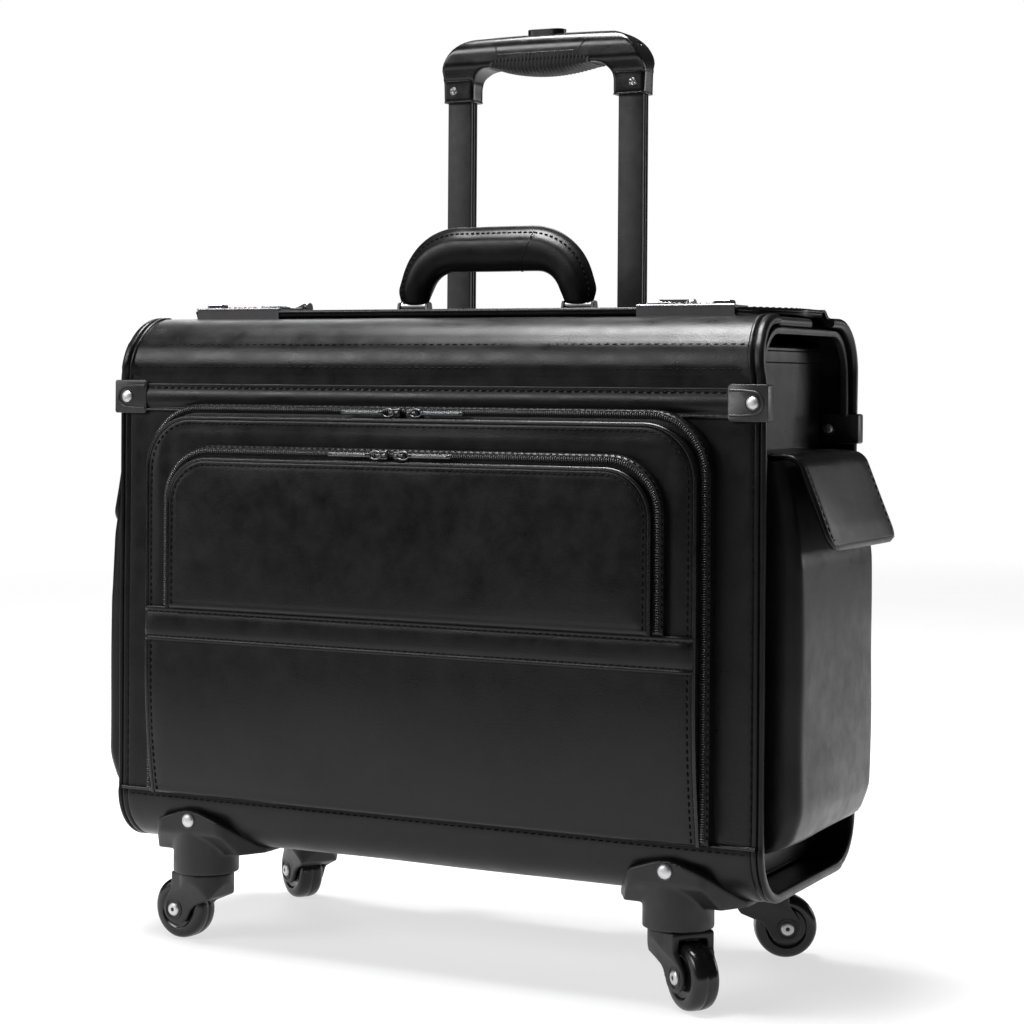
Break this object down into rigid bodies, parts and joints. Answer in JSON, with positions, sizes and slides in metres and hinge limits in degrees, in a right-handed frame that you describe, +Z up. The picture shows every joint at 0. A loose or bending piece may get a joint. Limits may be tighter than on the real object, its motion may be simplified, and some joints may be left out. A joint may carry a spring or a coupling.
{
  "type": "rolling laptop case",
  "caption": "Box-shaped rolling laptop case in black leather with a two-part opening top, combination locks, zipped front pockets, flapped side pockets, telescopic trolley and swivel casters.",
  "frame": {"origin": "on the floor under the middle of the case body, between the four wheels", "axes": "+X to the right seen from the front, -Y out of the front pockets, +Y out of the back with the trolley, +Z up"},
  "size_m": [0.5301, 0.2297, 0.631],
  "materials": {
    "black_leather": "smooth polyurethane leather, satin",
    "leather_lining": "woven lining over board",
    "frame_leather": "leather-covered flat steel bar",
    "clip_metal": "black powder coat",
    "chrome": "polished",
    "lock_metal": "gunmetal satin",
    "dial_metal": "nickel plate",
    "tube_metal": "dark grey anodised",
    "grip_plastic": "satin moulded",
    "housing_plastic": "fine matt moulded",
    "grip_rubber": "ribbed soft touch",
    "wheel_tyre": "glossy polyurethane",
    "zip_track": "coil zip on tape",
    "zip_metal": "black nickel",
    "pin_steel": "zinc plated"
  },
  "bodies": {
    "case": {"body_wrap": "black_leather", "side_panel_left": "leather_lining", "side_panel_right": "leather_lining", "mouth_frames": "frame_leather", "lid_rests": "black_leather", "corner_clips": "clip_metal", "body_rivets": "chrome", "base_board": "leather_lining", "center_divider": "leather_lining", "laptop_partition": "leather_lining", "front_pocket_large": "black_leather", "front_pocket_small": "black_leather", "zipper_large": "zip_track", "zipper_small": "zip_track", "side_pocket_left": "black_leather", "side_pocket_right": "black_leather", "trolley_outer_tubes": "tube_metal", "trolley_housing": "housing_plastic", "trolley_foot_bracket": "housing_plastic", "caster_housings": "housing_plastic", "caster_kingpins": "pin_steel"},
    "trolley_stage_1": {"trolley_middle_tubes": "tube_metal", "trolley_middle_collars": "grip_plastic"},
    "trolley_stage_2": {"trolley_inner_tubes": "tube_metal", "trolley_grip": "grip_plastic", "trolley_grip_pad": "grip_rubber", "grip_screws": "pin_steel"},
    "release_button": {"release_button": "grip_plastic"},
    "front_lid": {"front_lid": "black_leather", "lock_strikes": "pin_steel"},
    "top_lid": {"top_lid": "black_leather", "lock_case_left": "lock_metal", "lock_case_right": "lock_metal", "handle_mounts": "pin_steel"},
    "carry_handle": {"carry_handle": "black_leather", "handle_loops": "pin_steel"},
    "lock_dial_1_left": {"lock_dial_1_left": "dial_metal"},
    "lock_dial_2_left": {"lock_dial_2_left": "dial_metal"},
    "lock_dial_3_left": {"lock_dial_3_left": "dial_metal"},
    "lock_slide_left": {"lock_slide_left": "chrome"},
    "lock_hasp_left": {"lock_hasp_left": "chrome"},
    "side_flap_left": {"side_flap_left": "black_leather"},
    "zip_slider_large_left": {"zip_slider_large_left": "zip_metal"},
    "zip_slider_small_left": {"zip_slider_small_left": "zip_metal"},
    "lock_dial_1_right": {"lock_dial_1_right": "dial_metal"},
    "lock_dial_2_right": {"lock_dial_2_right": "dial_metal"},
    "lock_dial_3_right": {"lock_dial_3_right": "dial_metal"},
    "lock_slide_right": {"lock_slide_right": "chrome"},
    "lock_hasp_right": {"lock_hasp_right": "chrome"},
    "side_flap_right": {"side_flap_right": "black_leather"},
    "zip_slider_large_right": {"zip_slider_large_right": "zip_metal"},
    "zip_slider_small_right": {"zip_slider_small_right": "zip_metal"},
    "caster_fork_front_left": {"caster_fork_front_left": "housing_plastic"},
    "caster_wheel_front_left": {"caster_wheel_front_left": "wheel_tyre"},
    "caster_fork_front_right": {"caster_fork_front_right": "housing_plastic"},
    "caster_wheel_front_right": {"caster_wheel_front_right": "wheel_tyre"},
    "caster_fork_rear_left": {"caster_fork_rear_left": "housing_plastic"},
    "caster_wheel_rear_left": {"caster_wheel_rear_left": "wheel_tyre"},
    "caster_fork_rear_right": {"caster_fork_rear_right": "housing_plastic"},
    "caster_wheel_rear_right": {"caster_wheel_rear_right": "wheel_tyre"}
  },
  "joints": [
    {"name": "front_lid_hinge", "type": "hinge", "parent": "case", "child": "front_lid", "pos_m": [0, -0.086, 0.3823], "axis": [1, 0, 0], "range_deg": [0, 100]},
    {"name": "top_lid_hinge", "type": "hinge", "parent": "case", "child": "top_lid", "pos_m": [0, 0.0457, 0.4233], "axis": [-1, 0, 0], "range_deg": [0, 60]},
    {"name": "carry_handle_hinge", "type": "hinge", "parent": "top_lid", "child": "carry_handle", "pos_m": [0, 0.018, 0.4335], "axis": [1, 0, 0], "range_deg": [0, 75]},
    {"name": "trolley_stage_1_slide", "type": "slide", "parent": "case", "child": "trolley_stage_1", "axis": [0, 0, 1], "range_m": [0, 0.23]},
    {"name": "trolley_stage_2_slide", "type": "slide", "parent": "trolley_stage_1", "child": "trolley_stage_2", "axis": [0, 0, 1], "range_m": [-0.184, 0.055]},
    {"name": "release_button_press", "type": "slide", "parent": "trolley_stage_2", "child": "release_button", "axis": [0, 0, 1], "range_m": [-0.004, 0], "stiffness_N_per_m": 700, "springref_m": 0.004},
    {"name": "lock_dial_1_left_spin", "type": "hinge", "parent": "top_lid", "child": "lock_dial_1_left", "pos_m": [-0.162, -0.035, 0.4262], "axis": [1, 0, 0], "continuous": true},
    {"name": "lock_dial_2_left_spin", "type": "hinge", "parent": "top_lid", "child": "lock_dial_2_left", "pos_m": [-0.17, -0.035, 0.4262], "axis": [1, 0, 0], "continuous": true},
    {"name": "lock_dial_3_left_spin", "type": "hinge", "parent": "top_lid", "child": "lock_dial_3_left", "pos_m": [-0.178, -0.035, 0.4262], "axis": [1, 0, 0], "continuous": true},
    {"name": "lock_slide_left_push", "type": "slide", "parent": "top_lid", "child": "lock_slide_left", "axis": [-1, 0, 0], "range_m": [0, 0.0035], "stiffness_N_per_m": 300, "springref_m": -0.001},
    {"name": "lock_hasp_left_hinge", "type": "hinge", "parent": "top_lid", "child": "lock_hasp_left", "pos_m": [-0.1445, -0.007, 0.4327], "axis": [-1, 0, 0], "range_deg": [0, 100]},
    {"name": "side_flap_left_hinge", "type": "hinge", "parent": "case", "child": "side_flap_left", "pos_m": [-0.2126, 0, 0.3386], "axis": [0, 1, 0], "range_deg": [0, 85]},
    {"name": "zip_slider_large_left_slide", "type": "slide", "parent": "case", "child": "zip_slider_large_left", "axis": [1, 0, 0], "range_m": [-0.14, 0]},
    {"name": "zip_slider_small_left_slide", "type": "slide", "parent": "case", "child": "zip_slider_small_left", "axis": [1, 0, 0], "range_m": [-0.14, 0]},
    {"name": "lock_dial_1_right_spin", "type": "hinge", "parent": "top_lid", "child": "lock_dial_1_right", "pos_m": [0.162, -0.035, 0.4262], "axis": [1, 0, 0], "continuous": true},
    {"name": "lock_dial_2_right_spin", "type": "hinge", "parent": "top_lid", "child": "lock_dial_2_right", "pos_m": [0.17, -0.035, 0.4262], "axis": [1, 0, 0], "continuous": true},
    {"name": "lock_dial_3_right_spin", "type": "hinge", "parent": "top_lid", "child": "lock_dial_3_right", "pos_m": [0.178, -0.035, 0.4262], "axis": [1, 0, 0], "continuous": true},
    {"name": "lock_slide_right_push", "type": "slide", "parent": "top_lid", "child": "lock_slide_right", "axis": [1, 0, 0], "range_m": [0, 0.0035], "stiffness_N_per_m": 300, "springref_m": -0.001},
    {"name": "lock_hasp_right_hinge", "type": "hinge", "parent": "top_lid", "child": "lock_hasp_right", "pos_m": [0.1445, -0.007, 0.4327], "axis": [-1, 0, 0], "range_deg": [0, 100]},
    {"name": "side_flap_right_hinge", "type": "hinge", "parent": "case", "child": "side_flap_right", "pos_m": [0.2126, 0, 0.3386], "axis": [0, -1, 0], "range_deg": [0, 85]},
    {"name": "zip_slider_large_right_slide", "type": "slide", "parent": "case", "child": "zip_slider_large_right", "axis": [1, 0, 0], "range_m": [0, 0.14]},
    {"name": "zip_slider_small_right_slide", "type": "slide", "parent": "case", "child": "zip_slider_small_right", "axis": [1, 0, 0], "range_m": [0, 0.14]},
    {"name": "caster_front_left_swivel", "type": "hinge", "parent": "case", "child": "caster_fork_front_left", "pos_m": [-0.174, -0.0686, 0.0419], "axis": [0, 0, 1], "continuous": true},
    {"name": "caster_front_left_roll", "type": "hinge", "parent": "caster_fork_front_left", "child": "caster_wheel_front_left", "pos_m": [-0.1919, -0.06672, 0.02075], "axis": [-0.1045, -0.9945, 0], "continuous": true},
    {"name": "caster_front_right_swivel", "type": "hinge", "parent": "case", "child": "caster_fork_front_right", "pos_m": [0.174, -0.0686, 0.0419], "axis": [0, 0, 1], "continuous": true},
    {"name": "caster_front_right_roll", "type": "hinge", "parent": "caster_fork_front_right", "child": "caster_wheel_front_right", "pos_m": [0.18818, -0.07968, 0.02075], "axis": [0.6157, 0.788, 0], "continuous": true},
    {"name": "caster_rear_left_swivel", "type": "hinge", "parent": "case", "child": "caster_fork_rear_left", "pos_m": [-0.174, 0.0686, 0.0419], "axis": [0, 0, 1], "continuous": true},
    {"name": "caster_rear_left_roll", "type": "hinge", "parent": "caster_fork_rear_left", "child": "caster_wheel_rear_left", "pos_m": [-0.18892, 0.07866, 0.02075], "axis": [-0.5592, -0.829, 0], "continuous": true},
    {"name": "caster_rear_right_swivel", "type": "hinge", "parent": "case", "child": "caster_fork_rear_right", "pos_m": [0.174, 0.0686, 0.0419], "axis": [0, 0, 1], "continuous": true},
    {"name": "caster_rear_right_roll", "type": "hinge", "parent": "caster_fork_rear_right", "child": "caster_wheel_rear_right", "pos_m": [0.18989, 0.07705, 0.02075], "axis": [-0.4695, 0.8829, 0], "continuous": true}
  ]
}
